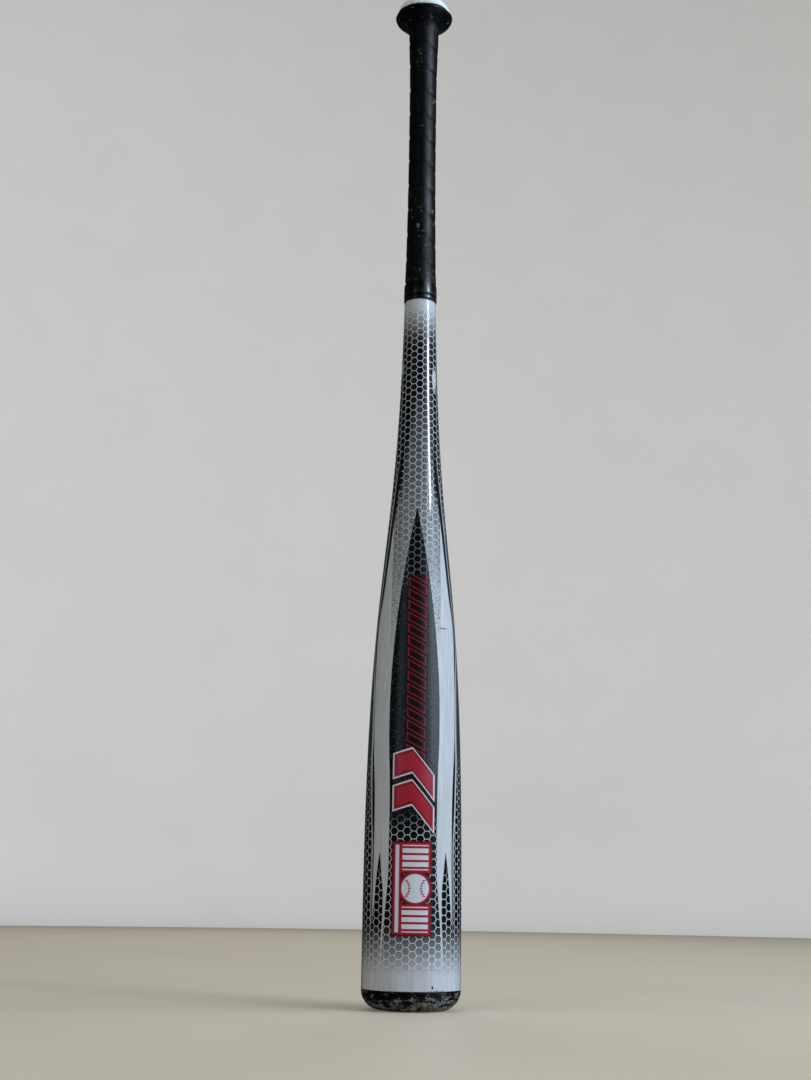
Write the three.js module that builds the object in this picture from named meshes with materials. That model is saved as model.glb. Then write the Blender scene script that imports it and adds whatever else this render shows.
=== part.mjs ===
// Baseball bat for rubber-ball play: a fibre-reinforced plastic shell with inner wall sleeves, a moulded end
// cap, a moulded knob and a wound grip tape. Millimetres, +Z up. The bat stands on its end cap, with the origin
// at the centre of the cap's flat face, its axis along Z and the front of its graphics towards -Y.
import * as THREE from "three";

// Driving dimensions.
const LENGTH = 780; // end cap's face to knob's face
const BARREL_RADIUS = 34.5;
const BARREL_STRAIGHT_END = 70; // height where the barrel starts to taper
const HANDLE_START = 516; // height where the taper runs out into the handle
const HANDLE_RADIUS = 12.05; // at HANDLE_START
const GRIP_SHOULDER = 519.5; // small step down to the seat of the grip
const GRIP_TUBE_TOP_RADIUS = 11.35; // just above that step
const GRIP_TUBE_RADIUS = 9.5; // slimmest stretch, under the hands
const GRIP_SLIM_START = 650;
const TUBE_END = 764; // the handle tube's end, inside the knob
const BARREL_WALL = 1.6;
const HANDLE_WALL = 2.7;
const CAP_HEIGHT = 13.5; // the cap's visible quarter-round, which is also its radius
const GAP = 0.3; // between faces that touch
const KNOB_TAPE_GAP = 1; // between the tape's facets and the knob's double curve

const SLEEVE_WALL = 1.2;
const SLEEVE_START = 42;
const OUTER_SLEEVE_END = 300;
const INNER_SLEEVE_END = 286;

const TAPE_THICKNESS = 0.9;
const TAPE_PITCH = 21; // a tape 25 mm wide, less its overlap
const TAPE_LOW_EDGE = 533.4; // where the finishing collar ends and the tape starts
const KNOB_NECK_START = 738;
const KNOB_WIDEST = 770;
const KNOB_RADIUS = 22.3;
const KNOB_FACE_RADIUS = 14;

const SEGMENTS = 32; // facets round every turned piece

const bat = new THREE.Group();

function material(color, roughness, metalness = 0) {
  return new THREE.MeshStandardMaterial({ color, roughness, metalness });
}

const shellPaint = material(0xb9bec6, 0.2);
const fibreGlassGrey = material(0x3a3c3e, 0.6);
const carbonBlack = material(0x232427, 0.5);
const elastomer = material(0x4c4a45, 0.85);
const foam = material(0xcfc9b4, 0.95);
const capPlastic = material(0x141416, 0.45);
const ballastRubber = material(0x2e2c2b, 0.9);
const knobPlastic = material(0xd8dad8, 0.35);
const plugPlastic = material(0x8d8f8c, 0.6);
const tapeRubber = material(0x1a1b1e, 0.65);
const collarVinyl = material(0x08080a, 0.15);

function add(name, geometry, itsMaterial) {
  const mesh = new THREE.Mesh(geometry, itsMaterial);
  mesh.name = name;
  bat.add(mesh);
}

// Turns an outline of [radius, height] points about the bat's axis. The outline runs with the solid on its left.
function turned(name, outline, itsMaterial) {
  const points = outline.map(([radius, height]) => new THREE.Vector2(radius, height));
  const geometry = new THREE.LatheGeometry(points, SEGMENTS);
  geometry.rotateX(Math.PI / 2);
  add(name, geometry, itsMaterial);
}

// A ring's outline: up the outside, given as a function of height, and down the inside.
function ringOutline(low, high, steps, outer, inner) {
  const heights = Array.from({ length: steps + 1 }, (_, i) => low + ((high - low) * i) / steps);
  const up = heights.map((z) => [outer(z), z]);
  const down = [...heights].reverse().map((z) => [inner(z), z]);
  return [...up, ...down, up[0]];
}

// Points of a cubic curve through [radius, height] control points.
function cubic(controls, steps) {
  const curve = new THREE.CubicBezierCurve(...controls.map(([r, z]) => new THREE.Vector2(r, z)));
  return curve.getPoints(steps).map((p) => [p.x, p.y]);
}

// Quarter-round from one angle to another about a centre, with separate radii across and along the axis.
function rounded(centre, across, along, fromAngle, toAngle, steps) {
  return Array.from({ length: steps + 1 }, (_, i) => {
    const angle = fromAngle + ((toAngle - fromAngle) * i) / steps;
    return [centre[0] + across * Math.cos(angle), centre[1] + along * Math.sin(angle)];
  });
}

// Radius at a height on an outline whose heights only rise.
function radiusOn(outline, height) {
  const next = outline.findIndex(([, z]) => z >= height);
  if (next < 0) return outline[outline.length - 1][0];
  if (next === 0) return outline[0][0];
  const [r0, z0] = outline[next - 1];
  const [r1, z1] = outline[next];
  return r0 + ((r1 - r0) * (height - z0)) / (z1 - z0);
}

// The painted body's outline, from the end cap's seam to the end of the handle tube.
const barrelTaper = cubic(
  [
    [BARREL_RADIUS, BARREL_STRAIGHT_END],
    [BARREL_RADIUS, BARREL_STRAIGHT_END + 257],
    [HANDLE_RADIUS + 3.9, HANDLE_START - 217],
    [HANDLE_RADIUS, HANDLE_START],
  ],
  16,
);
const gripTaper = cubic(
  [
    [GRIP_TUBE_TOP_RADIUS, GRIP_SHOULDER + 0.5],
    [GRIP_TUBE_TOP_RADIUS - 1.05, GRIP_SHOULDER + 30],
    [GRIP_TUBE_RADIUS, GRIP_SLIM_START - 50],
    [GRIP_TUBE_RADIUS, GRIP_SLIM_START],
  ],
  5,
);
const bodyOutline = [
  [BARREL_RADIUS, CAP_HEIGHT + GAP],
  ...barrelTaper,
  [HANDLE_RADIUS - 0.05, GRIP_SHOULDER],
  ...gripTaper,
  [GRIP_TUBE_RADIUS, TUBE_END],
];

// The wall grows from the thin barrel to the thick handle as the radius shrinks.
function wallAt(radius) {
  const share = (BARREL_RADIUS - radius) / (BARREL_RADIUS - GRIP_TUBE_RADIUS);
  return BARREL_WALL + (HANDLE_WALL - BARREL_WALL) * share;
}

function boreAt(height) {
  const radius = radiusOn(bodyOutline, height);
  return radius - wallAt(radius);
}

function addBarrelShell() {
  const bore = bodyOutline.map(([radius, height]) => [radius - wallAt(radius), height]);
  turned("barrel_shell", [...bodyOutline, ...bore.reverse(), bodyOutline[0]], shellPaint);
}

// Two loose inner walls that follow the shell's bore, held apart at both ends by soft rings.
function addWallSleeves() {
  const outerFace = (z) => boreAt(z) - GAP;
  const innerFace = (z) => outerFace(z) - SLEEVE_WALL - GAP;
  const deepest = (z) => innerFace(z) - SLEEVE_WALL;
  const outerSleeve = ringOutline(SLEEVE_START, OUTER_SLEEVE_END, 8, outerFace, (z) => outerFace(z) - SLEEVE_WALL);
  turned("outer_wall_sleeve", outerSleeve, fibreGlassGrey);
  turned("inner_wall_sleeve", ringOutline(SLEEVE_START, INNER_SLEEVE_END, 8, innerFace, deepest), carbonBlack);
  const capRing = ringOutline(SLEEVE_START - GAP - 3.4, SLEEVE_START - GAP, 1, outerFace, (z) => deepest(z) - 1);
  turned("sleeve_ring_cap_end", capRing, elastomer);
  const taperRingLow = OUTER_SLEEVE_END + GAP;
  const taperRing = ringOutline(taperRingLow, taperRingLow + 6, 1, outerFace, (z) => deepest(z) - 1);
  turned("sleeve_ring_taper_end", taperRing, elastomer);
}

// A foam plug that fills the taper above the sleeves and deadens the ring of the shell.
function addTaperPlug() {
  const low = OUTER_SLEEVE_END + 14;
  const high = low + 60;
  const face = (z) => boreAt(z) - GAP;
  const side = ringOutline(low, high, 5, face, () => 0).slice(0, 6);
  turned("taper_foam_plug", [[0, low], ...side, [0, high]], foam);
}

// The end cap: a quarter-round outside, a skirt that plugs into the shell, and a hollow inside.
const CAP_FACE_RADIUS = BARREL_RADIUS - CAP_HEIGHT;
const CAP_FLOOR = 4;
const SKIRT_RADIUS = BARREL_RADIUS - BARREL_WALL - GAP;
const SKIRT_BORE = SKIRT_RADIUS - 2.4;
const SKIRT_TOP = 38;

function addEndCap() {
  const quarter = Math.PI / 2;
  const outside = rounded([CAP_FACE_RADIUS, CAP_HEIGHT], CAP_HEIGHT, CAP_HEIGHT, -quarter, 0, 7);
  const hollowRound = SKIRT_BORE - CAP_FACE_RADIUS;
  const inside = rounded([CAP_FACE_RADIUS, CAP_HEIGHT], hollowRound, CAP_HEIGHT - CAP_FLOOR, 0, -quarter, 4);
  const skirt = [
    [SKIRT_RADIUS, CAP_HEIGHT],
    [SKIRT_RADIUS, SKIRT_TOP],
    [SKIRT_BORE, SKIRT_TOP],
  ];
  turned("end_cap", [[0, 0], ...outside, ...skirt, ...inside, [0, CAP_FLOOR]], capPlastic);
}

// A rubber disc that trims the bat to its weight, and a foam disc over it that quietens the cap.
function addCapFilling() {
  const disc = (low, high, radius) => [
    [0, low],
    [radius, low],
    [radius, high],
    [0, high],
  ];
  const weightTop = CAP_FLOOR + GAP + 8;
  turned("cap_trim_weight", disc(CAP_FLOOR + GAP, weightTop, CAP_FACE_RADIUS - 1), ballastRubber);
  turned("cap_foam_disc", disc(CAP_HEIGHT + 2, SKIRT_TOP - 4, SKIRT_BORE - GAP), foam);
}

// The surface that the grip tape is wound on: the handle tube, the knob's neck and the knob's flare.
const flare = cubic(
  [
    [GRIP_TUBE_RADIUS + 1.5, 753],
    [GRIP_TUBE_RADIUS + 1.5, 763],
    [KNOB_RADIUS, KNOB_WIDEST - 6],
    [KNOB_RADIUS, KNOB_WIDEST],
  ],
  8,
);
const neck = cubic(
  [
    [GRIP_TUBE_RADIUS + GAP, 700],
    [GRIP_TUBE_RADIUS + GAP, 722],
    [GRIP_TUBE_RADIUS + 1.3, 737],
    flare[0],
  ],
  4,
);
const windingSurface = [
  [radiusOn(gripTaper, TAPE_LOW_EDGE) + GAP, TAPE_LOW_EDGE],
  ...gripTaper.filter(([, z]) => z > TAPE_LOW_EDGE + 2).map(([r, z]) => [r + GAP, z]),
  ...neck,
  ...flare.slice(1),
];

// Walks along an outline of [radius, height] points: the point and the outward normal at a distance from its start.
function walker(outline) {
  const path = new THREE.CurvePath();
  for (let i = 1; i < outline.length; i += 1) {
    path.add(new THREE.LineCurve(new THREE.Vector2(...outline[i - 1]), new THREE.Vector2(...outline[i])));
  }
  const length = path.getLength();
  const pointAt = (distance) => path.getPoint(Math.min(1, Math.max(0, distance / length)));
  const at = (distance) => {
    const point = pointAt(distance);
    const along = pointAt(distance + 0.8).sub(pointAt(distance - 0.8)).normalize();
    return { point, normal: new THREE.Vector2(along.y, -along.x) };
  };
  return { length, at };
}

// An outline moved along its normals, outwards for a positive distance.
function shifted(outline, distance) {
  return outline.map(([r, z], i) => {
    const [r0, z0] = outline[Math.max(0, i - 1)];
    const [r1, z1] = outline[Math.min(outline.length - 1, i + 1)];
    const length = Math.hypot(r1 - r0, z1 - z0);
    return [r + (distance * (z1 - z0)) / length, z - (distance * (r1 - r0)) / length];
  });
}

// One strip of tape, wound edge to edge as a left-handed helix from the collar up over the knob's flare, with
// both ends trimmed square to the bat's axis, so that the strip narrows to a point there.
function addGripTape() {
  const { length, at } = walker(windingSurface);
  const stepsPerTurn = 20;
  const width = TAPE_PITCH - GAP;
  const narrowest = 1.5;
  const firstCentre = narrowest - width / 2;
  const lastCentre = length - narrowest + width / 2;
  const turns = (lastCentre - firstCentre) / TAPE_PITCH;
  const steps = Math.round(turns * stepsPerTurn);
  const geometry = new THREE.BoxGeometry(1, 1, 1, steps, 4, 1);
  const position = geometry.getAttribute("position");
  for (let i = 0; i < position.count; i += 1) {
    const run = position.getX(i) + 0.5;
    const centre = lastCentre - (lastCentre - firstCentre) * run;
    const low = Math.max(0, centre - width / 2);
    const high = Math.min(length, centre + width / 2);
    const { point, normal } = at(low + (high - low) * (position.getY(i) + 0.5));
    const lift = TAPE_THICKNESS * (position.getZ(i) + 0.5);
    const radius = point.x + normal.x * lift;
    const angle = run * turns * 2 * Math.PI;
    position.setXYZ(i, radius * Math.cos(angle), radius * Math.sin(angle), point.y + normal.y * lift);
  }
  add("grip_tape", geometry, tapeRubber);
}

// The glossy collar that covers the tape's lower end, with a lip that draws in to the painted handle.
function addGripCollar() {
  const low = GRIP_SHOULDER + 0.8;
  const high = TAPE_LOW_EDGE - GAP;
  const seat = (z) => radiusOn(bodyOutline, z) + GAP;
  const outside = [
    [HANDLE_RADIUS - 0.05, low],
    [HANDLE_RADIUS + 0.5, low + 3.6],
    [HANDLE_RADIUS + 0.35, low + 4],
    [HANDLE_RADIUS + 0.6, low + 4.6],
    [HANDLE_RADIUS + 0.35, high],
  ];
  const inside = [
    [seat(high), high],
    [seat(low), low],
  ];
  turned("grip_collar", [...outside, ...inside, outside[0]], collarVinyl);
}

// The knob: a bulb with a blind bore that takes the handle tube, and a neck that the tape runs over.
function addKnob() {
  const covered = [
    [radiusOn(neck, KNOB_NECK_START) - GAP, KNOB_NECK_START],
    ...neck.filter(([, z]) => z > KNOB_NECK_START + 2).map(([r, z]) => [r - GAP, z]),
    ...shifted(flare, -KNOB_TAPE_GAP).slice(1),
  ];
  const widest = covered[covered.length - 1];
  const exposed = rounded(
    [KNOB_FACE_RADIUS, widest[1]],
    widest[0] - KNOB_FACE_RADIUS,
    LENGTH - widest[1],
    0,
    Math.PI / 2,
    6,
  );
  const bore = GRIP_TUBE_RADIUS + GAP;
  const outline = [...covered, ...exposed.slice(1), [0, LENGTH], [0, TUBE_END + GAP], [bore, TUBE_END + GAP]];
  turned("knob", [...outline, [bore, KNOB_NECK_START], outline[0]], knobPlastic);
}

// A plug bonded inside the tube's end, which stiffens it where the knob holds on.
function addHandlePlug() {
  const radius = GRIP_TUBE_RADIUS - HANDLE_WALL - GAP;
  const outline = [
    [0, 704],
    [radius - 1, 704],
    [radius, 705],
    [radius, TUBE_END - 1],
    [0, TUBE_END - 1],
  ];
  turned("handle_plug", outline, plugPlastic);
}

addBarrelShell();
addWallSleeves();
addTaperPlug();
addEndCap();
addCapFilling();
addGripTape();
addGripCollar();
addKnob();
addHandlePlug();

export default bat;
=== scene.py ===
"""The looks of a rubber-ball baseball bat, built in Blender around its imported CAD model.

The bat stands on its end cap, its axis along +Z and the front of its graphics towards -Y. Outlines
are written in millimetres and turned into meshes in metres. The painted graphics, the wear and the
grain are node patterns in the bat's own coordinates: the height up the bat, and the distance round it
from the front or back meridian.
"""

import math

import bmesh
import bpy
import numpy as np
from mathutils import Matrix, Vector, noise


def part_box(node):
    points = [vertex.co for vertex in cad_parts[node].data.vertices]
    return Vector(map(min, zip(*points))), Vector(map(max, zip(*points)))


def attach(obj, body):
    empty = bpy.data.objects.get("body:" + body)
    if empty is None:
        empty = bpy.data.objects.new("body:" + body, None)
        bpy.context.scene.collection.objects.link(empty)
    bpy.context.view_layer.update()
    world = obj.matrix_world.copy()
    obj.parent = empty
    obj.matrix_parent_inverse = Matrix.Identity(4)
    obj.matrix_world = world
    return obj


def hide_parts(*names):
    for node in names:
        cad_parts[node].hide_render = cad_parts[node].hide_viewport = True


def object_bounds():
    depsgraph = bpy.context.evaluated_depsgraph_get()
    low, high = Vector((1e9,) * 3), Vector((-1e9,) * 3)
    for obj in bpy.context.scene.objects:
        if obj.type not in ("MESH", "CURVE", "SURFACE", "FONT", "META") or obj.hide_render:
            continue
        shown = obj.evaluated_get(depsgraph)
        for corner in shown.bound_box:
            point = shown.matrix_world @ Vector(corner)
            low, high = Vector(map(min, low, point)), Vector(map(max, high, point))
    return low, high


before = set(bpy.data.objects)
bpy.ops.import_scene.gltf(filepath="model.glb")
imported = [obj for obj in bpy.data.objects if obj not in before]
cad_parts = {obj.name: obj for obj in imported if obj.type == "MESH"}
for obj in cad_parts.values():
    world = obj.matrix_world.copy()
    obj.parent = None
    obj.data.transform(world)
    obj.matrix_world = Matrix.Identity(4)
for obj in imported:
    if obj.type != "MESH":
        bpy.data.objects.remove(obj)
cad_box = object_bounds()
MM = 0.001


# --- Driving dimensions, in millimetres, some read off the CAD nodes and some given ---------------


def height_range(node):
    low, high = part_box(node)
    return low.z / MM, high.z / MM


def outer_radius(node):
    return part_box(node)[1].x / MM


LENGTH = cad_box[1].z / MM
BARREL_RADIUS = outer_radius("end_cap")
SHELL_LOW, SHELL_HIGH = height_range("barrel_shell")
CAP_FLOOR_TOP = height_range("cap_trim_weight")[0]
SKIRT_TOP = height_range("end_cap")[1]
COLLAR_LOW, COLLAR_HIGH = height_range("grip_collar")
COLLAR_RADIUS = outer_radius("grip_collar")
KNOB_NECK_START = height_range("knob")[0]

BARREL_WALL = 1.6
HANDLE_WALL = 2.7
BARREL_STRAIGHT_END = 70
HANDLE_START = 516
HANDLE_RADIUS = 12.05
GRIP_SHOULDER = 519.5
GRIP_TUBE_TOP_RADIUS = 11.35
GRIP_TUBE_RADIUS = 9.5
GRIP_SLIM_START = 650
CAP_HEIGHT = 13.5
KNOB_WIDEST = 770
KNOB_RADIUS = 22.3
KNOB_FACE_RADIUS = 14
GAP = 0.3


# --- Outlines of [radius, height] points ----------------------------------------------------------


def bezier(controls, steps):
    """Points of a cubic curve with four control points."""
    weights = lambda t: ((1 - t) ** 3, 3 * t * (1 - t) ** 2, 3 * t * t * (1 - t), t**3)
    points = []
    for i in range(steps + 1):
        w = weights(i / steps)
        points.append(tuple(sum(k * c[axis] for k, c in zip(w, controls)) for axis in (0, 1)))
    return points


def arc(centre, across, along, start, end, steps):
    """Points of an elliptical arc between two angles in degrees, 0 outwards and 90 upwards."""
    angles = [math.radians(start + (end - start) * i / steps) for i in range(steps + 1)]
    return [(centre[0] + across * math.cos(a), centre[1] + along * math.sin(a)) for a in angles]


def radius_on(outline, height):
    """Radius at a height on an outline whose heights rise."""
    radii, heights = zip(*outline)
    return float(np.interp(height, heights, radii))


BARREL_TAPER = bezier(
    [
        (BARREL_RADIUS, BARREL_STRAIGHT_END),
        (BARREL_RADIUS, BARREL_STRAIGHT_END + 257),
        (HANDLE_RADIUS + 3.9, HANDLE_START - 217),
        (HANDLE_RADIUS, HANDLE_START),
    ],
    160,
)
GRIP_TAPER = bezier(
    [
        (GRIP_TUBE_TOP_RADIUS, GRIP_SHOULDER + 0.5),
        (GRIP_TUBE_TOP_RADIUS - 1.05, GRIP_SHOULDER + 30),
        (GRIP_TUBE_RADIUS, GRIP_SLIM_START - 50),
        (GRIP_TUBE_RADIUS, GRIP_SLIM_START),
    ],
    40,
)
BODY = [
    (BARREL_RADIUS, SHELL_LOW),
    *BARREL_TAPER,
    (HANDLE_RADIUS - 0.05, GRIP_SHOULDER),
    *GRIP_TAPER,
    (GRIP_TUBE_RADIUS, SHELL_HIGH),
]
FLARE = bezier(
    [
        (GRIP_TUBE_RADIUS + 1.5, KNOB_WIDEST - 17),
        (GRIP_TUBE_RADIUS + 1.5, KNOB_WIDEST - 7),
        (KNOB_RADIUS, KNOB_WIDEST - 6),
        (KNOB_RADIUS, KNOB_WIDEST),
    ],
    24,
)
NECK = bezier(
    [
        (GRIP_TUBE_RADIUS + GAP, KNOB_NECK_START - 38),
        (GRIP_TUBE_RADIUS + GAP, KNOB_NECK_START - 16),
        (GRIP_TUBE_RADIUS + 1.3, KNOB_NECK_START - 1),
        FLARE[0],
    ],
    12,
)


# --- Meshes ---------------------------------------------------------------------------------------

SHARP_ANGLE = math.radians(32)


def make_piece(name, bm, material, slot, *nodes):
    """Turns a bmesh in metres into a smooth-shaded piece that rides on the bat's one body."""
    bmesh.ops.recalc_face_normals(bm, faces=bm.faces)
    mesh = bpy.data.meshes.new(name)
    bm.to_mesh(mesh)
    bm.free()
    for polygon in mesh.polygons:
        polygon.use_smooth = True
    mesh.set_sharp_from_angle(angle=SHARP_ANGLE)
    mesh.materials.append(material)
    piece = bpy.data.objects.new(name, mesh)
    bpy.context.scene.collection.objects.link(piece)
    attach(piece, "root")
    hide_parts(*nodes)


def turned(outline, columns, wobble=None):
    """A bmesh turned about the bat's axis from an outline in millimetres, closed on itself or at the axis.
    wobble, if given, takes a point in millimetres and returns how far to push it outwards."""
    bm = bmesh.new()
    rings = []
    for radius, height in outline:
        if radius == 0:
            rings.append([bm.verts.new((0, 0, height * MM))])
            continue
        ring = []
        for i in range(columns):
            angle = 2 * math.pi * i / columns
            right, back = math.sin(angle), math.cos(angle)
            push = wobble(Vector((radius * right, radius * back, height))) if wobble else 0
            reach = (radius + push) * MM
            ring.append(bm.verts.new((reach * right, reach * back, height * MM)))
        rings.append(ring)
    starts_on_axis = len(rings[0]) == 1
    following = rings[1:] if starts_on_axis else rings[1:] + rings[:1]
    for low, high in zip(rings, following):
        for i in range(columns):
            j = (i + 1) % columns
            if len(low) == 1:
                bm.faces.new((low[0], high[j], high[i]))
            elif len(high) == 1:
                bm.faces.new((low[i], low[j], high[0]))
            else:
                bm.faces.new((low[i], low[j], high[j], high[i]))
    return bm


# --- Node patterns --------------------------------------------------------------------------------


def linear(red, green, blue):
    """A colour given as it shows on a screen, 0 to 255, in the linear values that shaders take."""
    channels = [c / 255 for c in (red, green, blue)]
    return tuple(c / 12.92 if c <= 0.04045 else ((c + 0.055) / 1.055) ** 2.4 for c in channels)


class Field:
    """A number that varies over a surface. Arithmetic on fields adds Math nodes to their material."""

    def __init__(self, tree, value):
        self.tree = tree
        self.value = value

    def feed(self, socket):
        if isinstance(self.value, bpy.types.NodeSocket):
            self.tree.links.new(self.value, socket)
        else:
            socket.default_value = self.value

    def math(self, operation, *others, clamp=False):
        node = self.tree.nodes.new("ShaderNodeMath")
        node.operation = operation
        node.use_clamp = clamp
        for socket, term in zip(node.inputs, (self, *others)):
            as_field(self.tree, term).feed(socket)
        return Field(self.tree, node.outputs[0])

    def __add__(self, other):
        return self.math("ADD", other)

    def __radd__(self, other):
        return self.math("ADD", other)

    def __sub__(self, other):
        return self.math("SUBTRACT", other)

    def __rsub__(self, other):
        return as_field(self.tree, other).math("SUBTRACT", self)

    def __mul__(self, other):
        return self.math("MULTIPLY", other)

    def __rmul__(self, other):
        return self.math("MULTIPLY", other)

    def __truediv__(self, other):
        return self.math("DIVIDE", other)

    def __abs__(self):
        return self.math("ABSOLUTE")

    def least(self, other):
        return self.math("MINIMUM", other)

    def most(self, other):
        return self.math("MAXIMUM", other)

    def clamped(self):
        return self.math("ADD", 0.0, clamp=True)

    def inverse(self):
        """1 where this is 0, and 0 where it is 1."""
        return self.math("MULTIPLY_ADD", -1.0, 1.0)

    def folded(self, half_period):
        """Runs to and fro between 0 and half_period."""
        return self.math("PINGPONG", half_period)

    def ramp(self, start, end, low=0.0, high=1.0):
        """low before start and high after end, with a smooth rise or fall in between."""
        node = self.tree.nodes.new("ShaderNodeMapRange")
        node.interpolation_type = "SMOOTHSTEP"
        flipped = start > end
        ends = (end, start, high, low) if flipped else (start, end, low, high)
        self.feed(node.inputs["Value"])
        for name, number in zip(("From Min", "From Max", "To Min", "To Max"), ends):
            node.inputs[name].default_value = number
        return Field(self.tree, node.outputs["Result"])

    def below(self, edge, blur=0.2):
        """1 where this is under the edge, which may be a field, and 0 above it."""
        return (edge - self).math("MULTIPLY_ADD", 1 / blur, 0.5, clamp=True)

    def curve(self, *points):
        """Reads a smooth curve through (position, value) points that run upwards in position."""
        places, values = zip(*points)
        low, high = min(values), max(values)
        span = places[-1] - places[0]
        node = self.tree.nodes.new("ShaderNodeFloatCurve")
        ((self - places[0]) / span).feed(node.inputs["Value"])
        line = node.mapping.curves[0]
        scaled = [((place - places[0]) / span, (value - low) / (high - low)) for place, value in points]
        line.points[0].location = scaled[0]
        line.points[1].location = scaled[-1]
        for place in scaled[1:-1]:
            line.points.new(*place)
        for point in line.points:
            point.handle_type = "AUTO_CLAMPED"
        node.mapping.update()
        return Field(self.tree, node.outputs["Value"]).math("MULTIPLY_ADD", high - low, low)


def as_field(tree, term):
    return term if isinstance(term, Field) else Field(tree, float(term))


class Finish:
    """A material in the making: its node tree, its shader and the object's coordinates in millimetres."""

    def __init__(self, name):
        self.material = bpy.data.materials.new(name)
        self.material.use_nodes = True
        self.tree = self.material.node_tree
        self.shader = self.tree.nodes["Principled BSDF"]
        source = self.tree.nodes.new("ShaderNodeTexCoord").outputs["Object"]
        scale = self.tree.nodes.new("ShaderNodeVectorMath")
        scale.operation = "SCALE"
        self.tree.links.new(source, scale.inputs[0])
        scale.inputs["Scale"].default_value = 1 / MM
        self.place = scale.outputs[0]
        parts = self.tree.nodes.new("ShaderNodeSeparateXYZ")
        self.tree.links.new(self.place, parts.inputs[0])
        self.x, self.y, self.z = (Field(self.tree, socket) for socket in parts.outputs)

    def set(self, **values):
        """Numbers and colours that are the same all over, set on the shader's own sockets."""
        for name, value in values.items():
            socket = self.shader.inputs[name.replace("_", " ").title().replace("Ior", "IOR")]
            socket.default_value = (*value, 1) if isinstance(value, tuple) else value

    def stretched(self, x, y, z):
        """The place multiplied by a number along each axis, for patterns that run one way."""
        node = self.tree.nodes.new("ShaderNodeVectorMath")
        node.operation = "MULTIPLY"
        self.tree.links.new(self.place, node.inputs[0])
        node.inputs[1].default_value = (x, y, z)
        return node.outputs[0]

    def noise(self, grain, detail=3.0, place=None, warp=0.0):
        """Soft random values about 0.5, with features about grain millimetres across."""
        node = self.tree.nodes.new("ShaderNodeTexNoise")
        self.tree.links.new(place or self.place, node.inputs["Vector"])
        node.inputs["Scale"].default_value = 1 / grain
        node.inputs["Detail"].default_value = detail
        node.inputs["Distortion"].default_value = warp
        return Field(self.tree, node.outputs["Fac"])

    def cells(self, grain):
        """Distance from the nearest of scattered points, as a share of the grain."""
        node = self.tree.nodes.new("ShaderNodeTexVoronoi")
        self.tree.links.new(self.place, node.inputs["Vector"])
        node.inputs["Scale"].default_value = 1 / grain
        return Field(self.tree, node.outputs["Distance"])

    def mix(self, under, over, mask):
        """A number that is over where the mask is 1 and under where it is 0."""
        node = self.tree.nodes.new("ShaderNodeMix")
        node.data_type = "FLOAT"
        for socket, term in zip(node.inputs[:1] + node.inputs[2:4], (mask, under, over)):
            as_field(self.tree, term).feed(socket)
        return Field(self.tree, node.outputs[0])

    def tint(self, tone, colour):
        """A colour scaled by a field."""
        node = self.tree.nodes.new("ShaderNodeVectorMath")
        node.operation = "SCALE"
        node.inputs[0].default_value = colour
        as_field(self.tree, tone).feed(node.inputs["Scale"])
        return node.outputs[0]

    def layer(self, under, over, mask):
        """A colour laid over another where the mask is 1. Each is a socket or a plain colour."""
        node = self.tree.nodes.new("ShaderNodeMix")
        node.data_type = "RGBA"
        factor, first, second = (s for s in node.inputs if s.enabled)
        mask.feed(factor)
        for socket, colour in ((first, under), (second, over)):
            if isinstance(colour, tuple):
                socket.default_value = (*colour, 1)
            else:
                self.tree.links.new(colour, socket)
        return next(s for s in node.outputs if s.enabled)

    def colour(self, socket):
        self.tree.links.new(socket, self.shader.inputs["Base Color"])

    def roughness(self, field):
        field.feed(self.shader.inputs["Roughness"])

    def relief(self, height, millimetres):
        """Bump from a field that runs from 0 to 1, which stands for so many millimetres."""
        node = self.tree.nodes.new("ShaderNodeBump")
        node.inputs["Distance"].default_value = millimetres * MM
        height.feed(node.inputs["Height"])
        self.tree.links.new(node.outputs[0], self.shader.inputs["Normal"])


# --- The painted shell ----------------------------------------------------------------------------

HEX_PITCH = 5.3
HEX_LINE = 0.43
PEARL = 0.61
BLACK = 0.003


def hexagons(across, along):
    """Distance in millimetres from the edge of a honeycomb's cell, whose columns run along the bat."""
    column = HEX_PITCH * math.sqrt(3) / 2
    half = HEX_PITCH / 2
    ax, az = across.folded(column), along.folded(half)
    bx, bz = column - ax, half - az
    first = az.most(ax * (math.sqrt(3) / 2) + az * 0.5)
    second = bz.most(bx * (math.sqrt(3) / 2) + bz * 0.5)
    return half - first.least(second)


def box_distance(across, along, half_width, half_height):
    """Signed distance from a rectangle's edge, taken square at the corners."""
    return (abs(across) - half_width).most(abs(along) - half_height)


def disc_distance(across, along, radius):
    return (across * across + along * along).math("SQRT") - radius


def round_the_bat(finish):
    """The distance round the bat from the front or back meridian, positive to the right of each."""
    side = finish.y.math("SIGN") * -1
    angle = (finish.x * side).math("ARCTAN2", abs(finish.y))
    radius = (finish.x * finish.x + finish.y * finish.y).math("SQRT")
    return angle * radius


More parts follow.
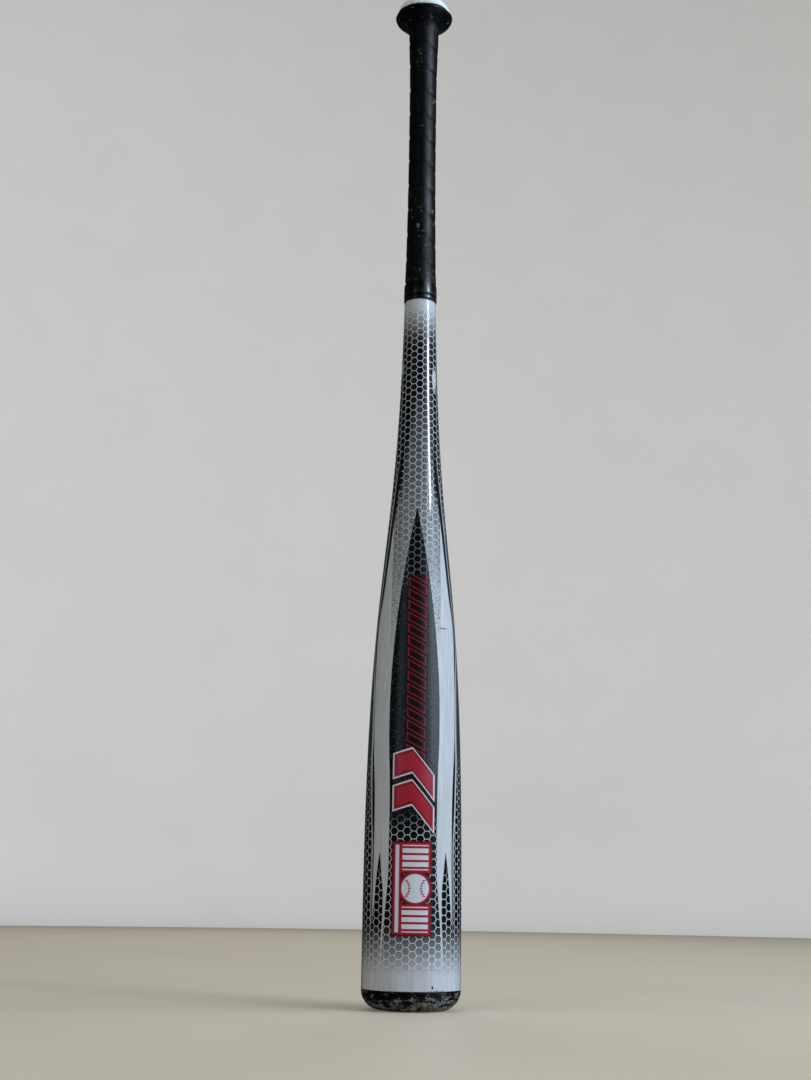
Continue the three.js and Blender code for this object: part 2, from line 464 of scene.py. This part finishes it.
class Graphics:
    """The grey tones of the printed graphics, laid one over another from the side panels to the dagger."""

    def __init__(self, finish, across):
        self.finish = finish
        self.height = finish.z
        self.out = abs(across)
        self.line = hexagons(across - 0.6, self.height).below(HEX_LINE / 2, 0.2)
        # Black cells and silver lines both fade into pearl at the ends of the bat.
        self.cell = self.height.curve(
            (SHELL_LOW, PEARL), (20, PEARL), (27, 0.5), (33, 0.38), (39, 0.24), (46, 0.13), (53, 0.03),
            (60, BLACK), (477, BLACK), (485, 0.02), (493, 0.1), (500, 0.24), (508, 0.42), (514, 0.57),
            (GRIP_SHOULDER, PEARL),
        )
        self.wire = self.height.curve(
            (SHELL_LOW, PEARL), (22, PEARL), (36, 0.8), (58, 0.72), (480, 0.7), (500, 0.8), (514, 0.66),
            (GRIP_SHOULDER, PEARL),
        )
        self.honeycomb = finish.mix(self.cell, self.wire, self.line)
        # How far the silver wedge reaches to each side of the meridian.
        self.wedge = self.height.curve(
            (30, 31.4), (72, 31.3), (106, 30.8), (142, 31.2), (183, 34.0), (248, 35.2), (290, 28.0),
            (340, 19.8), (374, 14.7), (406, 9.9), (434, 5.4), (462, -1.0), (520, -9.0),
        )

    def tone(self):
        tone = self.lay_edge_lines(self.side_panels())
        for lay in (self.lay_wedge, self.lay_stripes, self.lay_spikes, self.lay_dagger):
            tone = lay(tone)
        return tone

    def side_panels(self):
        """Honeycomb, but plain and speckled where the sides are widest."""
        plain = self.finish.noise(0.7, 1.0).ramp(0.4, 0.7, 0.006, 0.05)
        middle = self.height.ramp(150, 185) * self.height.ramp(345, 320)
        return self.finish.mix(self.honeycomb, plain, middle)

    def lay_edge_lines(self, tone):
        """A black line along the wedge's edge, with a white one outside it."""
        gap = self.height.curve(
            (40, 1.2), (106, 1.2), (142, 3.0), (183, 1.0), (205, 0.6), (250, 3.4), (340, 3.8), (400, 3.4),
        )
        width = self.height.curve(
            (45, 0.0), (72, 0.9), (106, 1.2), (142, 1.9), (183, 2.4), (250, 1.7), (340, 1.2), (405, 0.0),
        )
        run = self.height.ramp(46, 60) * self.height.ramp(412, 380)
        centre = self.wedge + gap + width * 0.5
        black = self.out.below(centre) * self.out.below(self.wedge - 0.3).inverse() * run
        tone = self.finish.mix(tone, BLACK, black)
        return self.finish.mix(tone, PEARL * 0.8, abs(self.out - centre).below(width * 0.5) * run)

    def lay_wedge(self, tone):
        """A silver wedge that opens down the bat, soft and dithered at the top and crisp below."""
        mix = self.finish.mix
        soft = self.height.ramp(342, 375)
        blur = mix(0.25, 4.5, soft)
        inside = ((self.wedge - soft * 3.2 - self.out) / blur + 0.5).clamped()
        shade = self.height.curve(
            (20, PEARL * 1.15), (60, PEARL), (236, PEARL), (256, 0.5), (274, 0.43), (292, 0.38), (310, 0.29),
            (345, 0.2), (372, 0.14), (405, 0.09), (440, 0.03),
        )
        dots = self.finish.noise(0.75, 1.0).ramp(0.42, 0.58, 0.45, 1.55)
        dither = mix(1.0, dots, self.height.ramp(240, 275))
        lines = mix(shade, self.wire, self.height.ramp(292, 335))
        silver = mix(shade * dither, lines, self.line)
        return mix(tone, silver, inside * self.height.ramp(20, 32))

    def lay_stripes(self, tone):
        """A white stripe down the outer side of the wedge."""
        stripe = self.out.below(19.2).inverse() * self.out.below(self.wedge) * self.height.below(345, 2)
        return self.finish.mix(tone, PEARL, stripe)

    def lay_spikes(self, tone):
        """A black spike that splits each stripe near the bottom."""
        near = self.height.curve((25, 23.6), (44, 22.7), (72, 21.4), (90, 22.9), (106, 24.7))
        far = self.height.curve((25, 40.0), (44, 33.0), (56, 31.6), (72, 29.6), (90, 27.4), (106, 24.7))
        spike = self.out.below(near).inverse() * self.out.below(far) * self.height.below(105.5, 0.5)
        spike_tone = self.finish.mix(self.honeycomb, BLACK, self.height.ramp(84, 98))
        return self.finish.mix(tone, spike_tone, spike)

    def lay_dagger(self, tone):
        """The black dagger up the middle, honeycombed but for a plain, faintly sparkling stretch."""
        mix = self.finish.mix
        height = self.height
        taper = (1 - (352.5 - height) / 150).most(0.0).math("POWER", 1.7)
        narrow = height.ramp(190, 140, 0.0, 1.45)
        half_width = 18.6 - taper * 18.6 - narrow + height.ramp(100, 25, 0.0, 5.2)
        plain = (height.ramp(302, 285) * height.ramp(112, 135)).most(height.ramp(338, 343))
        sparkle = self.finish.noise(0.8, 0.0).ramp(0.58, 0.8, BLACK, 0.08)
        cells = mix(self.cell, self.wire * height.ramp(150, 260, 1.0, 0.3), self.line)
        return mix(tone, mix(cells, sparkle, plain), self.out.below(half_width) * height.below(353, 0.5))


def shell_finish():
    """Clear-coated pearl paint with the printed graphics, streaks and chips."""
    finish = Finish("shell_paint")
    height = finish.z
    across = round_the_bat(finish)
    streak = finish.noise(1.8, 4.0, finish.stretched(1, 1, 0.07))
    tone = Graphics(finish, across).tone() * streak.ramp(0.3, 0.7, 1.06, 0.9)
    paint = finish.tint(tone, (0.96, 0.99, 1.04))
    paint = add_bars(finish, paint, across, height)
    paint = add_chevrons(finish, paint, across, height)
    paint = add_badge(finish, paint, across, height)
    paint = add_wear(finish, paint, across, height)
    finish.colour(paint)
    finish.roughness(finish.noise(1.4, 2.0).ramp(0.3, 0.7, 0.4, 0.5))
    finish.set(coat_weight=1.0, coat_roughness=0.03, coat_ior=1.5, specular_ior_level=0.1)
    return finish.material


RED = linear(168, 38, 56)
DARK_RED = linear(88, 12, 26)
WHITE = linear(214, 218, 226)
BAR_PITCH = 8.6
CHEVRON_HEIGHTS = (167, 145)
BADGE_HEIGHT = 81
BADGE_SHIFT = 2.0


def add_bars(finish, paint, across, height):
    """A column of slanted, outlined bars down the dagger, each with a dark slot in it."""
    local = across - 1.2
    off_centre = (height + local * 0.55).folded(BAR_PITCH / 2)
    distance = (abs(local) - 6.2).most(off_centre - 2.9)
    run = height.ramp(168, 169) * height.ramp(301, 300)
    hatch = (across * 2 + height).folded(0.8).below(0.25)
    black = (BLACK, BLACK, BLACK)
    paint = finish.layer(paint, black, abs(local).below(7.2) * run)
    paint = finish.layer(paint, DARK_RED, distance.below(0.0) * (hatch * 0.5 + 0.3) * run)
    paint = finish.layer(paint, black, distance.below(-1.5) * run)
    return finish.layer(paint, RED, abs(distance).below(0.24) * run)


def add_chevrons(finish, paint, across, height):
    """Two nested red chevrons with white outlines."""
    slanted = height + across * 0.45 + abs(across + 1) * 0.75
    first, second = (box_distance(across, slanted - centre, 14, 8) for centre in CHEVRON_HEIGHTS)
    distance = first.least(second)
    paint = finish.layer(paint, WHITE, distance.below(1.0))
    paint = finish.layer(paint, RED, distance.below(0.0))
    return finish.layer(paint, DARK_RED, abs(distance + 1.6).below(0.3))


def add_badge(finish, paint, across, height):
    """A generic badge: a baseball between two stacks of white bars, outlined in two reds."""
    local = across - BADGE_SHIFT
    along = height - BADGE_HEIGHT
    ball = disc_distance(local, along, 9.5)
    from_stack = abs(along) - 20.5
    bars = box_distance(local, from_stack.folded(2.3), 9.0, 1.5).most(abs(from_stack) - 8.4)
    rule = box_distance(local + 12.6, along, 1.3, 28.9)
    distance = ball.least(bars).least(rule)
    paint = finish.layer(paint, DARK_RED, distance.below(2.7, 1.2))
    paint = finish.layer(paint, RED, distance.below(1.5, 1.0))
    paint = finish.layer(paint, WHITE, distance.below(0.0))
    right, left = (abs(disc_distance(local + offset, along, 7.0)) for offset in (-11.0, 11.0))
    seam = right.least(left)
    stitch = seam.below(0.3).most(seam.below(1.1) * height.folded(0.9).below(0.25))
    return finish.layer(paint, RED, stitch * ball.below(-0.6))


WEAR = {
    "rub on the right": ((13.4, 456), (2.6, 10), 0.6),
    "rub on the left": ((-15.8, 465), (2.0, 5), 0.5),
    "chip above the cap": ((14.6, 16.5), (0.8, 1.6), BLACK),
    "scrape on the stripe": ((22.0, 262.5), (4.2, 0.7), 0.16),
}


def add_wear(finish, paint, across, height):
    """Ragged rubs and chips on the front, and paint worn away in places along the cap."""
    front = finish.y.below(0.0)
    rag = finish.noise(1.3, 4.0) - 0.5
    for centre, half_size, tone in WEAR.values():
        x = (across - centre[0]) / half_size[0]
        z = (height - centre[1]) / half_size[1]
        spot = (x * x + z * z + rag * 5).below(0.8, 0.3) * front
        paint = finish.layer(paint, (tone, tone, tone * 1.02), spot)
    edge = (finish.noise(0.8, 2.0) - 0.45) * 5.0 * across.ramp(9, 15) * across.ramp(29, 23)
    return finish.layer(paint, (BLACK, BLACK, BLACK), height.below(edge + SHELL_LOW, 0.3) * front)


def wall_at(radius):
    share = (BARREL_RADIUS - radius) / (BARREL_RADIUS - GRIP_TUBE_RADIUS)
    return BARREL_WALL + (HANDLE_WALL - BARREL_WALL) * share


SHELL_SECTIONS = 4
SHELL_COLUMNS = 96
ROW_HEIGHT = 3


def shell_outline(low, high):
    """A stretch of the shell's wall, up the outside and down the bore."""
    steps = math.ceil((high - low) / ROW_HEIGHT)
    heights = [low + (high - low) * i / steps for i in range(steps + 1)]
    if low < GRIP_SHOULDER < high:
        heights = sorted([*heights, GRIP_SHOULDER, GRIP_SHOULDER + 0.5])
    outside = [(radius_on(BODY, z), z) for z in heights]
    bore = [(radius - wall_at(radius), z) for radius, z in reversed(outside)]
    return outside + bore


def build_shell():
    paint = shell_finish()
    span = (SHELL_HIGH - SHELL_LOW) / SHELL_SECTIONS
    for i in range(SHELL_SECTIONS):
        low = SHELL_LOW + span * i
        bm = turned(shell_outline(low, low + span), SHELL_COLUMNS)
        make_piece(f"painted_shell_{i + 1}", bm, paint, "shell_paint", "barrel_shell")


# --- The end cap ----------------------------------------------------------------------------------


def cap_finish():
    """Black moulded rubbery plastic, scuffed grey where the cap meets the ground."""
    finish = Finish("cap_plastic")
    patch = finish.noise(5.0, 5.0, finish.stretched(0.8, 0.8, 1.8), warp=0.3)
    grit = finish.noise(0.8, 4.0, finish.stretched(1, 1, 2))
    to_right = round_the_bat(finish).ramp(-12, 10, 0.0, 0.08)
    to_ground = finish.z.ramp(12.5, 7.0, -0.06, 0.03)
    rim = finish.z.ramp(6, 3.5, 0.0, 0.05) * finish.z.ramp(0.5, 1.5)
    worn = (patch + grit * 0.9 + to_right + to_ground + rim).ramp(1.06, 1.16)
    plastic = finish.tint(finish.noise(3.0, 4.0).ramp(0.3, 0.7, 0.5, 1.5), linear(9, 8, 10))
    dust = finish.tint(grit.ramp(0.4, 0.64, 0.2, 1.3), linear(150, 148, 144))
    finish.colour(finish.layer(plastic, dust, worn))
    finish.roughness(finish.mix(0.28, 0.75, worn))
    finish.set(specular_ior_level=0.35)
    finish.relief(grit * 0.4 + patch * 0.6, 0.3)
    return finish.material


def build_end_cap():
    face = BARREL_RADIUS - CAP_HEIGHT
    skirt = BARREL_RADIUS - BARREL_WALL - GAP
    bore = skirt - 2.4
    floor = CAP_FLOOR_TOP - GAP
    outline = [
        (0, 0),
        (face * 0.5, 0),
        (face * 0.9, 0),
        *arc((face, CAP_HEIGHT), CAP_HEIGHT, CAP_HEIGHT, -90, -2, 24),
        (BARREL_RADIUS - 0.1, CAP_HEIGHT - 0.1),
        (BARREL_RADIUS - 0.4, CAP_HEIGHT),
        (skirt, CAP_HEIGHT + 0.05),
        (skirt, SKIRT_TOP - 0.6),
        (skirt - 0.6, SKIRT_TOP),
        (bore, SKIRT_TOP),
        *arc((face, CAP_HEIGHT), bore - face, CAP_HEIGHT - floor, 0, -90, 10),
        (0, floor),
    ]

    def wobble(point):
        worn = max(0.0, 1 - point.z / (CAP_HEIGHT - 1))
        return 0.5 * worn * noise.noise(point / 7) + 0.15 * worn * noise.noise(point / 1.6)

    make_piece("end_cap_moulding", turned(outline, 128, wobble), cap_finish(), "cap_plastic", "end_cap")


# --- The grip -------------------------------------------------------------------------------------

TAPE_WIDTH = 25
TAPE_PITCH = 21
TAPE_THICKNESS = 0.85
TAPE_EDGE = 0.35
TAPE_STEPS_PER_TURN = 72
TAPE_COLUMNS = 16
TAPE_START = COLLAR_LOW + 9


def smooth(value, start, end):
    share = min(1.0, max(0.0, (value - start) / (end - start)))
    return share * share * (3 - 2 * share)


def tape_section(offset):
    """How far the tape's inner and outer faces lie off the handle, at an offset from its centre line. Its
    lower edge rides on the turn below, and its upper edge is pared thin to pass under the turn above."""
    half = TAPE_WIDTH / 2
    inner = 0.4 * (1 - smooth(offset, 1.5 - half, 6 - half))
    covered = smooth(offset, TAPE_PITCH - half - 4, TAPE_PITCH - half)
    full = smooth(offset, -half, 6.5 - half) * (1 - covered)
    return inner, inner + TAPE_EDGE + (TAPE_THICKNESS - TAPE_EDGE) * full


class Winding:
    """The surface that the tape is wound on, as a path up one side of the handle and out over the flare."""

    def __init__(self):
        path = [(radius_on(GRIP_TAPER, TAPE_START) + GAP, TAPE_START)]
        path += [(r + GAP, z) for r, z in GRIP_TAPER if z > TAPE_START + 1]
        path += NECK[1:]
        path += FLARE[1:]
        self.radii, self.heights = (np.array(column) for column in zip(*path))
        steps = np.hypot(np.diff(self.radii), np.diff(self.heights))
        self.distances = np.concatenate([[0.0], np.cumsum(steps)])
        self.length = self.distances[-1]

    def point(self, distance):
        radius = np.interp(distance, self.distances, self.radii)
        return Vector((radius, np.interp(distance, self.distances, self.heights)))

    def vertex(self, angle, distance, lift):
        """A place in metres, lifted squarely off the path by so many millimetres and slightly uneven."""
        here = self.point(distance)
        along = (self.point(distance + 0.6) - self.point(distance - 0.6)).normalized()
        spot = Vector((math.cos(angle) * 3, math.sin(angle) * 3, distance / 4))
        uneven = 0.10 * noise.noise(spot) + 0.06 * noise.noise(spot * 3.1)
        radius = here.x + along.y * (lift + uneven)
        height = here.y - along.x * (lift + uneven)
        return (radius * math.cos(angle) * MM, -radius * math.sin(angle) * MM, height * MM)


def tape_ring(winding, angle, centre):
    """The places round the tape's section where its centre line has come so far along the path."""
    half = TAPE_WIDTH / 2
    rag = 0.9 * noise.noise(Vector((math.cos(angle) * 2.5, math.sin(angle) * 2.5, 7.0)))
    low = max(0.0, centre - half)
    high = max(low + 0.4, min(winding.length - 1.0 + rag, centre + half))
    outer, inner = [], []
    for k in range(TAPE_COLUMNS + 1):
        distance = low + (high - low) * k / TAPE_COLUMNS
        under, over = tape_section(distance - centre)
        rounding = 0.22 if k in (0, TAPE_COLUMNS) else 0.0
        outer.append(winding.vertex(angle, distance, over - rounding))
        if k % 4 == 0:
            inner.append(winding.vertex(angle, distance, under))
    return outer + inner[::-1]


def build_grip_tape():
    winding = Winding()
    start_overhang = TAPE_WIDTH / 2 - 1.5
    run = winding.length + 2 * start_overhang
    turns = run / TAPE_PITCH
    steps = round(turns * TAPE_STEPS_PER_TURN)
    bm = bmesh.new()
    rings = []
    for i in range(steps + 1):
        share = i / steps
        places = tape_ring(winding, 2 * math.pi * turns * share, run * share - start_overhang)
        rings.append([bm.verts.new(place) for place in places])
    for here, there in zip(rings, rings[1:]):
        for k in range(len(here)):
            j = (k + 1) % len(here)
            bm.faces.new((here[k], here[j], there[j], there[k]))
    bm.faces.new(rings[0])
    bm.faces.new(rings[-1][::-1])
    make_piece("grip_tape_winding", bm, tape_finish(), "grip_tape", "grip_tape")


def tape_finish():
    """Soft black polyurethane tape with a fine grain, polished and scuffed by hands."""
    finish = Finish("grip_tape")
    grain = finish.noise(0.55, 2.0)
    hands = finish.noise(14.0, 3.0)
    rubbed = finish.z.ramp(625, 605, 0.0, 0.05) + finish.z.ramp(700, 725, 0.0, 0.03)
    scuff = (finish.noise(4.5, 5.0, warp=1.0) + finish.noise(0.8, 2.0) * 0.2 + rubbed).ramp(0.78, 0.84)
    tape = finish.tint(hands.ramp(0.3, 0.7, 0.7, 1.3), linear(6, 5, 6))
    finish.colour(finish.layer(tape, linear(118, 110, 108), scuff * 0.7))
    finish.roughness(finish.mix(hands.ramp(0.35, 0.65, 0.4, 0.52), 0.6, scuff))
    finish.set(specular_ior_level=0.6)
    wrinkle = finish.noise(1.6, 1.0, finish.stretched(0.6, 0.6, 1.6), warp=0.6) * finish.z.ramp(600, 565)
    finish.relief(grain * 0.5 + hands * 0.4 + wrinkle * 1.6, 0.14)
    return finish.material


def collar_finish():
    """Glossy black vinyl, drawn tight."""
    finish = Finish("collar_vinyl")
    pull = finish.noise(1.6, 3.0, finish.stretched(1, 1, 4))
    finish.colour(finish.tint(pull.ramp(0.3, 0.7, 0.7, 1.3), linear(7, 7, 9)))
    finish.roughness(finish.noise(2.0, 2.0).ramp(0.3, 0.7, 0.08, 0.18))
    finish.set(specular_ior_level=0.85)
    finish.relief(pull, 0.05)
    return finish.material


def build_collar():
    """The collar narrows to a bead at the handle, with a groove above the bead."""
    low, high = COLLAR_LOW, COLLAR_HIGH + 1.4
    seat = radius_on(BODY, high) + GAP
    outline = [
        (HANDLE_RADIUS - 0.1, low),
        (HANDLE_RADIUS + 0.25, low + 0.2),
        (HANDLE_RADIUS + 0.5, low + 1.2),
        (HANDLE_RADIUS + 0.55, low + 3.0),
        (HANDLE_RADIUS + 0.4, low + 3.7),
        (HANDLE_RADIUS + 0.05, low + 4.0),
        (HANDLE_RADIUS + 0.4, low + 4.3),
        (COLLAR_RADIUS, low + 5.0),
        (COLLAR_RADIUS - 0.05, low + 8),
        (COLLAR_RADIUS - 0.2, high - 1.0),
        (COLLAR_RADIUS - 0.3, high - 0.2),
        (COLLAR_RADIUS - 0.55, high),
        (seat, high),
        (radius_on(BODY, low + 1) + GAP / 2, low + 0.3),
    ]
    make_piece("collar_wrap", turned(outline, 96), collar_finish(), "collar_vinyl", "grip_collar")


def knob_finish():
    """Pale satin plastic, grubby round the tape."""
    finish = Finish("knob_plastic")
    grime = finish.noise(4.0, 5.0)
    edge = finish.z.ramp(KNOB_WIDEST + 3, KNOB_WIDEST - 1)
    dirty = (grime + edge * 0.3).ramp(0.5, 0.9)
    clean = finish.tint(finish.noise(11.0, 3.0).ramp(0.3, 0.7, 0.94, 1.04), linear(240, 243, 244))
    finish.colour(finish.layer(clean, linear(132, 124, 112), dirty * 0.6))
    finish.roughness(grime.ramp(0.3, 0.7, 0.32, 0.5))
    finish.relief(finish.noise(0.6, 2.0), 0.05)
    return finish.material


def build_knob():
    """Outlined from the bore's closed end, down the bore and up the outside to a slightly dished face."""
    seat = 1.0
    bore = GRIP_TUBE_RADIUS + GAP
    neck = [(r - GAP, z) for r, z in NECK if z > KNOB_NECK_START]
    flare = [(r - seat * 0.75, z + seat * 0.3) for r, z in FLARE[1:-4]]
    crown = KNOB_RADIUS - seat - KNOB_FACE_RADIUS
    outline = [
        (0, SHELL_HIGH + GAP),
        (bore, SHELL_HIGH + GAP),
        (bore, KNOB_NECK_START),
        (neck[0][0], KNOB_NECK_START),
        *neck,
        *flare,
        *arc((KNOB_FACE_RADIUS, KNOB_WIDEST), crown, LENGTH - KNOB_WIDEST, -8, 90, 18),
        (KNOB_FACE_RADIUS - 3, LENGTH),
        *arc((KNOB_FACE_RADIUS - 4.5, LENGTH), 1.0, 0.5, 0, -90, 4),
        (0, LENGTH - 0.5),
    ]
    make_piece("knob_moulding", turned(outline, 96), knob_finish(), "knob_plastic", "knob")


# --- What the bat holds inside --------------------------------------------------------------------


def weave_finish(name, dark, light, thread, roughness):
    """Cloth-reinforced resin: two sets of threads wound at 45 degrees, one over the other."""
    finish = Finish(name)
    across = round_the_bat(finish)
    one = (across + finish.z).folded(thread) / thread
    two = (across - finish.z).folded(thread) / thread
    over = (one - two).below(0.0, 0.3)
    fibre = finish.noise(0.5, 2.0)
    under = finish.tint(fibre.ramp(0.3, 0.7, 0.8, 1.2), dark)
    finish.colour(finish.layer(under, light, over * 0.6))
    finish.roughness(finish.mix(roughness, roughness + 0.15, over))
    finish.relief(one.most(two) * 0.7 + fibre * 0.3, 0.1)
    return finish.material


def speckled_finish(name, dark, light, grain, roughness, depth):
    """Moulded rubber or foam: soft mottling, small cells and a matt skin."""
    finish = Finish(name)
    mottle = finish.noise(grain * 5, 4.0)
    cell = finish.cells(grain)
    base = finish.tint(mottle.ramp(0.3, 0.7, 0.85, 1.15), dark)
    finish.colour(finish.layer(base, light, cell.ramp(0.2, 0.7)))
    finish.roughness(mottle.ramp(0.3, 0.7, roughness - 0.08, roughness))
    finish.relief(cell, depth)
    return finish.material


def dress_inner_nodes():
    glass = weave_finish("glass_fibre", linear(70, 72, 70), linear(118, 120, 112), 2.4, 0.5)
    carbon = weave_finish("carbon_fibre", linear(24, 24, 27), linear(58, 59, 64), 2.0, 0.38)
    elastomer = speckled_finish("elastomer", linear(78, 74, 68), linear(96, 92, 84), 0.8, 0.85, 0.05)
    foam = speckled_finish("foam", linear(198, 190, 166), linear(226, 220, 200), 1.1, 0.95, 0.3)
    rubber = speckled_finish("trim_rubber", linear(44, 42, 41), linear(60, 57, 54), 0.7, 0.9, 0.06)
    plug = speckled_finish("plug_plastic", linear(138, 140, 138), linear(152, 154, 150), 2.2, 0.55, 0.03)
    for name, material in (
        ("outer_wall_sleeve", glass),
        ("inner_wall_sleeve", carbon),
        ("sleeve_ring_cap_end", elastomer),
        ("sleeve_ring_taper_end", elastomer),
        ("taper_foam_plug", foam),
        ("cap_foam_disc", foam),
        ("cap_trim_weight", rubber),
        ("handle_plug", plug),
    ):
        for material_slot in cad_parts[name].material_slots:
            material_slot.material = material


# --- Stage, lights and camera ---------------------------------------------------------------------

STAGE_RADIUS = 2.55
STAGE_FILLET = 0.25
STAGE_HEIGHT = 3.4


def stage_finish(name, colour, roughness, glow):
    """A plain pale surface that can be seen through from behind, so that a low view isn't blocked."""
    finish = Finish(name)
    mottle = finish.noise(180.0, 3.0)
    finish.colour(finish.tint(mottle.ramp(0.3, 0.7, 0.98, 1.02), colour))
    finish.set(roughness=roughness, emission_color=colour, emission_strength=glow)
    tree = finish.tree
    clear = tree.nodes.new("ShaderNodeBsdfTransparent")
    choice = tree.nodes.new("ShaderNodeMixShader")
    facing = tree.nodes.new("ShaderNodeNewGeometry").outputs["Backfacing"]
    tree.links.new(facing, choice.inputs[0])
    tree.links.new(finish.shader.outputs[0], choice.inputs[1])
    tree.links.new(clear.outputs[0], choice.inputs[2])
    output = next(n for n in tree.nodes if n.type == "OUTPUT_MATERIAL")
    tree.links.new(choice.outputs[0], output.inputs["Surface"])
    return finish.material


def stage_sheet(name, outline, material):
    """A surface turned about the bat's axis from an outline in metres, its inside facing the bat."""
    columns = 96
    angles = [2 * math.pi * i / columns for i in range(columns)]
    bm = bmesh.new()
    rings = []
    for radius, height in outline:
        rings.append([bm.verts.new((radius * math.sin(a), radius * math.cos(a), height)) for a in angles])
    for low, high in zip(rings, rings[1:]):
        for i in range(columns):
            j = (i + 1) % columns
            bm.faces.new((low[i], low[j], high[j], high[i]))
    mesh = bpy.data.meshes.new(name)
    bm.to_mesh(mesh)
    bm.free()
    for polygon in mesh.polygons:
        polygon.use_smooth = True
    mesh.materials.append(material)
    sheet = bpy.data.objects.new(name, mesh)
    bpy.context.scene.collection.objects.link(sheet)
    return sheet


def build_stage():
    """A pale floor in a closed bowl. The bat doesn't mirror them, and takes no light from the bowl."""
    inner = STAGE_RADIUS - STAGE_FILLET
    floor = stage_finish("stage_floor", linear(226, 213, 190), 0.45, 0.12)
    wall = stage_finish("stage_wall", linear(208, 204, 199), 0.9, 0.48)
    flat = [(0.001, 0), (0.25, 0), (1.0, 0), (inner, 0)]
    bowl = [
        *arc((inner, STAGE_FILLET), STAGE_FILLET, STAGE_FILLET, -90, 0, 12),
        *arc((inner, STAGE_HEIGHT), STAGE_FILLET, STAGE_FILLET, 0, 90, 12),
        (0.001, STAGE_HEIGHT + STAGE_FILLET),
    ]
    stage_sheet("floor", flat, floor).visible_glossy = False
    backdrop = stage_sheet("backdrop", bowl, wall)
    backdrop.visible_glossy = False
    backdrop.visible_diffuse = False


def aim(obj, target):
    obj.rotation_mode = "QUATERNION"
    obj.rotation_quaternion = (Vector(target) - obj.location).to_track_quat("-Z", "Y")


def area_light(name, azimuth, elevation, distance, width, length, watts, colour, target=(0, 0, 0.4)):
    """A rectangular light that faces the bat. Azimuth 0 is towards the camera, and 90 to its right."""
    light = bpy.data.lights.new(name, "AREA")
    light.shape = "RECTANGLE"
    light.size, light.size_y = width, length
    light.energy, light.color = watts, colour
    lamp = bpy.data.objects.new(name, light)
    bpy.context.scene.collection.objects.link(lamp)
    a, e = math.radians(azimuth), math.radians(elevation)
    towards = Vector((math.sin(a) * math.cos(e), -math.cos(a) * math.cos(e), math.sin(e)))
    lamp.location = Vector(target) + towards * distance
    lamp.visible_camera = False
    aim(lamp, target)
    return lamp


def build_lights():
    """Soft lights that the paint doesn't mirror, and two small lamps whose reflections draw a line down the
    handle: the upper one is fainter, so the line fades out towards the grip."""
    for name, azimuth, elevation, distance, width, length, watts, colour in (
        ("window_light", 74, 16, 1.95, 2.2, 1.3, 35.5, (0.61, 0.79, 1.0)),
        ("left_fill", -44, 24, 2.1, 1.6, 1.6, 9, (0.95, 0.98, 1.0)),
        ("back_fill", 185, 30, 2.1, 1.6, 1.6, 11, (0.98, 0.99, 1.0)),
        ("ceiling", 20, 80, 2.4, 1.6, 1.6, 13, (0.95, 0.98, 1.0)),
    ):
        lamp = area_light(name, azimuth, elevation, distance, width, length, watts, colour)
        lamp.visible_glossy = False
    for name, elevation, width, length, watts in (
        ("tube_lamp_low", 23.8, 0.28, 0.127, 3.35),
        ("tube_lamp_high", 26.9, 0.23, 0.07, 0.85),
    ):
        area_light(name, 59.3, elevation, 1.8, width, length, watts, (0.95, 0.97, 1.0), (0, 0, 0.43))
    build_world()


def build_world():
    """What the paint mirrors: a dim room, with a pale window to the right whose edges are soft."""
    world = bpy.data.worlds.new("room")
    bpy.context.scene.world = world
    world.use_nodes = True
    tree = world.node_tree
    parts = tree.nodes.new("ShaderNodeSeparateXYZ")
    tree.links.new(tree.nodes.new("ShaderNodeTexCoord").outputs["Generated"], parts.inputs[0])
    right, back, up = (Field(tree, socket) for socket in parts.outputs)
    azimuth = right.math("ARCTAN2", back * -1.0) * math.degrees(1)
    glow = azimuth.curve(
        (-180, 0.06), (-90, 0.05), (-62, 0.01), (-51, 0.05), (-40, 0.4), (-29, 0.25), (-12, 0.08),
        (6, 0.1), (20, 0.45), (31, 0.9), (42, 1.8), (53, 2.7), (66, 2.5), (80, 0.8), (96, 0.3),
        (130, 0.2), (180, 0.06),
    )
    window = azimuth.ramp(15, 45) * azimuth.ramp(110, 80)
    sill = up.ramp(0.06, 0.15, 0.0, 1.0).most(window * 0.14)
    head = up.ramp(0.55, 0.26).most(window * up.ramp(0.8, 0.6))
    level = glow * sill * head + 0.015
    level.feed(tree.nodes["Background"].inputs["Strength"])
    tree.nodes["Background"].inputs["Color"].default_value = (0.64, 0.8, 1.0, 1)
    bpy.context.scene.view_settings.view_transform = "Standard"


CAMERA_PLACE = (0, -1.0455, 0.0769)
CAMERA_PAN = math.radians(0.468)
CAMERA_TILT = math.radians(13.74)
CAMERA_ROLL = math.radians(0.9)


def build_camera():
    """Close to the floor, tilted up to take in the bat as far as its knob."""
    data = bpy.data.cameras.new("camera")
    data.lens = 48.33
    data.sensor_width = 36
    data.clip_start = 0.05
    camera = bpy.data.objects.new("camera", data)
    bpy.context.scene.collection.objects.link(camera)
    pan = Matrix.Rotation(CAMERA_PAN, 4, "Z")
    tilt = Matrix.Rotation(math.pi / 2 + CAMERA_TILT, 4, "X")
    roll = Matrix.Rotation(CAMERA_ROLL, 4, "Z")
    camera.matrix_world = Matrix.Translation(CAMERA_PLACE) @ pan @ tilt @ roll
    bpy.context.scene.camera = camera


build_camera()
build_stage()
build_lights()
build_shell()
build_end_cap()
build_grip_tape()
build_collar()
build_knob()
dress_inner_nodes()
